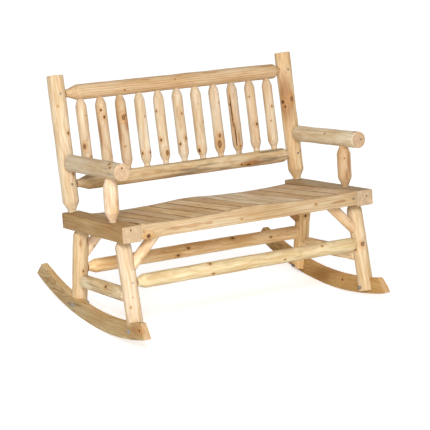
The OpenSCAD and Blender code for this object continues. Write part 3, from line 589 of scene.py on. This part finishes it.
for number, tint in enumerate(SLAT_TINTS, 1):
    x = (number - 7) * SLAT_PITCH
    name = "seat_slat_%02d" % number
    side = -1 if x < 0 else 1
    roll = -side * math.asin((abs(x) - 1000 * SCOOP_X) / (1000 * SCOOP_R))
    if number == 7:
        lifted = Matrix.Translation((0, 0, RIDGE_Z - SLAT_T))
    else:
        lifted = (Matrix.Translation((side * SCOOP_X, 0, SCOOP_Z)) @ Matrix.Rotation(roll, 4, "Y")
                  @ Matrix.Translation((0, 0, -SLAT_REACH)))
    slope = Matrix.Translation((0, -SLAT_L / 2, 0.002)) @ Matrix.Rotation(-SEAT_SLOPE, 4, "X")
    level = Matrix.Translation((0, ROCKER_AHEAD, RAIL_RISE - ROCKER_R))
    lean = Matrix.Translation((0, REST_Y, ROCKER_R)) @ Matrix.Rotation(-REST_PITCH, 4, "X")
    bpy.ops.object.select_all(action="DESELECT")
    bpy.ops.mesh.primitive_cube_add(size=1, location=(0, 0, 0))
    slat = bpy.context.object
    slat.name = "planed_" + name
    bpy.ops.object.mode_set(mode="EDIT")
    bpy.ops.mesh.select_all(action="SELECT")
    bpy.ops.transform.resize(value=(0.0686, SLAT_L, SLAT_T))
    bpy.ops.transform.translate(value=(0, SLAT_L / 2, SLAT_T / 2))
    bpy.ops.mesh.select_mode(type="EDGE")
    bpy.ops.mesh.select_all(action="DESELECT")
    shape = bmesh.from_edit_mesh(slat.data)
    for edge in shape.edges:
        edge.select_set(all(corner.co.z > 0.019 for corner in edge.verts)
                        and abs(edge.verts[0].co.y - edge.verts[1].co.y) > 0.1)
    bmesh.update_edit_mesh(slat.data)
    bpy.ops.mesh.bevel(offset=0.0028, segments=4, affect="EDGES")
    bpy.ops.mesh.select_all(action="DESELECT")
    shape = bmesh.from_edit_mesh(slat.data)
    for edge in shape.edges:
        edge.select_set(abs(edge.verts[0].co.y - edge.verts[1].co.y) > 0.1)
    bmesh.update_edit_mesh(slat.data)
    bpy.ops.mesh.subdivide(number_cuts=40)
    bpy.ops.object.mode_set(mode="OBJECT")
    own_tilt = Matrix.Rotation(math.radians(0.5 * math.sin(number * 2.4)), 4, "Y")
    slat.matrix_world = lean @ level @ slope @ lifted @ own_tilt
    bpy.ops.object.transform_apply(location=True, rotation=True, scale=True)
    lump = bpy.data.textures.new(name + "_lumps", "CLOUDS")
    lump.noise_scale = 0.09
    swell = slat.modifiers.new("swell", "DISPLACE")
    swell.texture = lump
    swell.strength = 0.0012
    swell.mid_level = 0.5
    bpy.ops.object.modifier_apply(modifier="swell")
    bpy.ops.object.shade_smooth_by_angle(angle=math.radians(40))
    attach(slat, "root")
    made_of(slat, name, fir(
        "slat_fir_%02d" % number, at_rest(x, -241, -10), at_rest(x, 241, -26),
        tint, seed=60 + 2.3 * number, face=(0, 0, 1),
        pith=(-0.05 - 0.01 * (number % 3), 0.02 * ((number * 5) % 4 - 1.5)), wander=0.010, ring_gap=0.0048,
        knots=((60 + 97 * number % 380, 20 * ((number * 7) % 3 - 1), 8),), reach=0.012, grain=0.42,
        # Painted shade: the boards' long sides are darkened with the painted light tone so that the gaps
        # between the slats read as shadowed lines.
        painted_light_side=(1, 0, 0), painted_light_tone=(150, 112, 76), weather=0.2 * (number % 3 == 1)))

# Back posts. Two stout logs that lean back, sawn flat on top and cut down at the foot to
# a tenon in the side rail. Each is bored for the two back rails and for the armrest.
BACK_LEAN = math.radians(6.6)
POST_X = 527


def back_at(x, s, y=0):
    """A place on the leaning back, s millimetres up from the side rails' tops."""
    return at_rest(
        x,
        237 + y * math.cos(BACK_LEAN) + s * math.sin(BACK_LEAN),
        s * math.cos(BACK_LEAN) - y * math.sin(BACK_LEAN),
    )


for side, side_name, tint, knots in (
    (-1, "left", (225, 207, 177), ((311, 22, 11), (315, -110, 14), (150, 20, 6), (420, -30, 5))),
    (1, "right", (228, 202, 161),
     ((333, -72, 19, 0.9), (341, 3, 20), (312, -55, 12), (345, -40, 56, 0.28), (338, -62, 26, 0.29),
      (345, 0, 24, 0.29), (120, 30, 8))),
):
    name = "back_post_" + side_name
    foot = back_at(side * POST_X, 0)
    top = back_at(side * POST_X, 540)
    log = round_log("peeled_" + name, foot, top, (
        (-6, 32), (0, 33), (6, 34), (31, 61), (38, 66), (532, 66), (535, 62)))
    made_of(log, name, fir(
        "back_post_fir_" + side_name, foot, top, tint, seed=2.7 * side + 90, knots=knots,
        reach=0.033, pith=(0.003, 0.005), sheen=0.28 if side < 0 else 0.42))

# Back rails. Two round logs between the posts, cut down at both ends to a tenon, bored
# along their length for the spindles.
for name, s, girth, tint, knots in (
    ("back_top_rail", 467, 62, (212, 185, 148), ((248, 10, 7), (480, -30, 6), (760, 150, 11))),
    ("back_bottom_rail", 111, 60, (220, 199, 162), (
        (779, 26, 12, 0.4), (790, 15, 26, 0.25), (745, 20, 9), (330, -100, 9), (120, 150, 8))),
):
    left = back_at(-494, s)
    right = back_at(494, s)
    log = round_log("peeled_" + name, left, right, (
        (-12, 33), (0, 33), (3, 35), (35, girth - 3), (41, girth),
        (949, girth), (955, girth - 4), (973, 36), (988, 33), (1000, 33)))
    made_of(log, name, fir(
        name + "_fir", left, right, tint, seed=0.01 * s + 100, knots=knots, reach=girth / 2000,
        pith=(0.004, -0.002) if s < 200 else (0.012, -0.018), weather=0.8 if s < 200 else 0.0,
        grain=0.3 if s < 200 else 0.48, ring_gap=0.003 if s < 200 else 0.006))

# Spindles. Eleven round sticks between the back rails, each with a short bare neck and a
# rounded shoulder at both ends.
SPINDLES = (
    ((223, 204, 175), ((110, -38, 14, 0.6), (67, 18, 8), (230, 20, 5))),
    ((219, 198, 167), ((245, -30, 10), (216, -2, 12), (150, -70, 14, 0.12), (60, 40, 7))),
    ((209, 186, 154), (
        (234, 38, 9), (214, 22, 8), (206, -8, 18, 0.7), (150, -75, 18, 0.15), (185, 20, 20, 0.25),
        (90, -30, 6))),
    ((231, 220, 199), ((53, -62, 10), (54, 31, 10), (200, 10, 5))),
    ((228, 214, 190), ((216, -66, 8), (97, -51, 10), (43, 1, 16, 0.6), (160, 40, 5))),
    ((227, 214, 193), ((194, 1, 7), (92, 19, 14), (71, -54, 10))),
    ((220, 202, 173), ((150, 25, 5), (34, -60, 13, 0.6), (225, -10, 4))),
    ((223, 206, 181), ((85, -18, 14, 0.7), (50, -30, 20, 0.5), (60, 50, 9), (220, 20, 5))),
    ((209, 188, 160), (
        (180, -58, 8, 0.05), (80, -42, 8, 0.06), (207, -63, 12), (60, -10, 8, 0.14), (30, -7, 10))),
    ((221, 200, 171), ((113, 10, 12), (230, -40, 6), (50, 30, 6))),
    ((224, 205, 176), ((180, 0, 8), (70, 50, 9), (120, -30, 5))),
)
for number, (tint, knots) in enumerate(SPINDLES, 1):
    name = "back_spindle_%02d" % number
    x = (number - 6) * 86.5
    low = back_at(x, 141)
    high = back_at(x, 436)
    log = round_log("peeled_" + name, low, high, (
        (-5, 25), (8, 25), (10, 29), (28, 42), (34, 44),
        (261, 44), (267, 42), (285, 29), (287, 25), (300, 25)), sides=40, step=7)
    made_of(log, name, fir(
        "spindle_fir_%02d" % number, low, high, tint, seed=120 + 1.9 * number, knots=knots,
        reach=0.022, pith=(0.003 * math.cos(number), 0.003 * math.sin(number))))

# Arm posts and armrests. Each armrest is a stout log sawn flat in front, cut down behind to
# a tenon in the back post, and carried in front by a short post with a tenon at both ends.
ARM_POST_Y = -124
ARMREST_Z = 198
for side, side_name in ((-1, "left"), (1, "right")):
    foot = at_rest(side * POST_X, ARM_POST_Y, 0)
    top = at_rest(side * POST_X, ARM_POST_Y, 165)
    name = "arm_post_" + side_name
    log = round_log("peeled_" + name, foot, top, (
        (-6, 28), (0, 28), (3, 31), (28, 52), (35, 56),
        (130, 56), (137, 52), (162, 31), (165, 29), (172, 28)))
    made_of(log, name, fir(
        "arm_post_fir_" + side_name, foot, top, (232, 210, 182) if side < 0 else (209, 179, 142),
        seed=1.1 * side + 150, reach=0.028,
        knots=((80, 150, 5),) if side < 0 else ((95, 8, 14, 0.15), (50, -15, 10, 0.2), (120, -30, 5))))
    name = "armrest_" + side_name
    front = at_rest(side * POST_X, -235, ARMREST_Z)
    rear = at_rest(side * POST_X, 247, ARMREST_Z)
    arm_l = (rear - front).length * 1000
    log = round_log("peeled_" + name, front, rear, (
        (0, 62), (2, 66), (arm_l - 49, 66), (arm_l - 42, 62), (arm_l - 36, 54),
        (arm_l - 32, 44), (arm_l - 29, 34), (arm_l - 2, 34)))
    made_of(log, name, fir(
        "armrest_fir_" + side_name, front, rear, (215, 199, 172) if side < 0 else (226, 213, 186),
        seed=1.9 * side + 160, face=(0, 0, 1), reach=0.033,
        knots=((66, -34, 14, 0.9), (44, -58, 11), (260, 20, 8)) if side < 0
        else ((14, -8, 12), (200, -60, 7)),
        end_tone=(216, 192, 158), pith=(0.015, 0.001) if side < 0 else (0.002, 0.012),
        weather=0.3))

# Bolts, washers and nuts. Zinc-plated carriage bolts with domed heads go through the
# rockers and legs.
zinc = bpy.data.materials.new("zinc_plate")
zinc.use_nodes = True
tree = zinc.node_tree
source = tree.nodes.new("ShaderNodeTexCoord")
mottle = noise_of(tree, source.outputs["Object"], (400, 400, 400), 2.0, 3.0)
tree.links.new(blended(tree, mottle, (0.27, 0.27, 0.26, 1), (0.47, 0.47, 0.46, 1)),
               tree.nodes["Principled BSDF"].inputs["Base Color"])
tree.links.new(eased(tree, mottle, 0.3, 0.7, 0.35, 0.55), tree.nodes["Principled BSDF"].inputs["Roughness"])
tree.nodes["Principled BSDF"].inputs["Metallic"].default_value = 1.0
for name in ("rocker_bolts", "rocker_washers", "rocker_nuts"):
    coated(name, zinc)

# Screws. Plated wood screws with a low domed head and a cross recess. Four lock the back
# rails in the posts, four the stretchers in the legs, and four slanted ones, sunk deep,
# hold the cross rails.
SCREW_GIRTHS = ((-1.2, 3.4), (-1.0, 6.0), (-0.5, 8.2), (0, 9), (0.6, 9), (3.4, 4.5), (36, 4.5), (45, 0.6))
plated = bpy.data.materials.new("screw_plate")
plated.use_nodes = True
tree = plated.node_tree
source = tree.nodes.new("ShaderNodeTexCoord")
mottle = noise_of(tree, source.outputs["Object"], (500, 500, 500), 4.0, 3.0)
tree.links.new(blended(tree, mottle, (0.18, 0.18, 0.18, 1), (0.34, 0.34, 0.34, 1)),
               tree.nodes["Principled BSDF"].inputs["Base Color"])
tree.nodes["Principled BSDF"].inputs["Metallic"].default_value = 1.0
tree.nodes["Principled BSDF"].inputs["Roughness"].default_value = 0.45


def turned_screw(head, inward):
    bpy.ops.object.select_all(action="DESELECT")
    bpy.ops.mesh.primitive_circle_add(
        vertices=28, radius=SCREW_GIRTHS[0][1] / 2000, fill_type="NGON",
        location=(0, 0, SCREW_GIRTHS[0][0] / 1000))
    screw = bpy.context.object
    bpy.ops.object.mode_set(mode="EDIT")
    bpy.ops.mesh.select_all(action="SELECT")
    for before, here in zip(SCREW_GIRTHS, SCREW_GIRTHS[1:]):
        bpy.ops.mesh.extrude_region_move(
            TRANSFORM_OT_translate={"value": (0, 0, (here[0] - before[0]) / 1000)})
        bpy.ops.transform.resize(
            value=(here[1] / before[1], here[1] / before[1], 1), center_override=(0, 0, here[0] / 1000))
    bpy.ops.mesh.select_all(action="SELECT")
    bpy.ops.mesh.normals_make_consistent(inside=False)
    bpy.ops.object.mode_set(mode="OBJECT")
    for slot_size in ((0.0052, 0.0010, 0.0036), (0.0010, 0.0052, 0.0036)):
        bpy.ops.mesh.primitive_cube_add(size=1, location=(0, 0, 0))
        blade = bpy.context.object
        blade.scale = slot_size
        bpy.context.view_layer.objects.active = screw
        cut = screw.modifiers.new("recess", "BOOLEAN")
        cut.operation = "DIFFERENCE"
        cut.solver = "EXACT"
        cut.object = blade
        bpy.ops.object.modifier_apply(modifier="recess")
        bpy.data.objects.remove(blade)
    screw.rotation_mode = "QUATERNION"
    screw.rotation_quaternion = inward.normalized().to_track_quat("Z", "X")
    screw.location = head
    bpy.ops.object.select_all(action="DESELECT")
    screw.select_set(True)
    bpy.ops.object.transform_apply(location=True, rotation=True, scale=True)
    return screw


def screw_group(node, screws):
    bpy.ops.object.select_all(action="DESELECT")
    for screw in screws:
        screw.select_set(True)
    bpy.context.view_layer.objects.active = screws[0]
    bpy.ops.object.join()
    screws[0].name = "turned_" + node
    bpy.ops.object.shade_smooth_by_angle(angle=math.radians(35))
    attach(screws[0], "root")
    made_of(screws[0], node, plated)


post_screws = []
leg_screws = []
for side in (-1, 1):
    for s in (111, 467):
        post_screws.append(turned_screw(back_at(side * POST_X, s, -34.8), back_at(0, 0, 1) - back_at(0, 0)))
    for end in (-1, 1):
        lean = end * LEG_LEAN[end]
        inward = at_rest(0, -end * math.cos(lean), -end * math.sin(lean)) - at_rest(0, 0, 0)
        post = leg_at(side, end, -221) - inward.normalized() * 0.0322
        leg_screws.append(turned_screw(post, inward))
screw_group("post_screws", post_screws)
screw_group("leg_screws", leg_screws)
coated("rail_screws", plated)
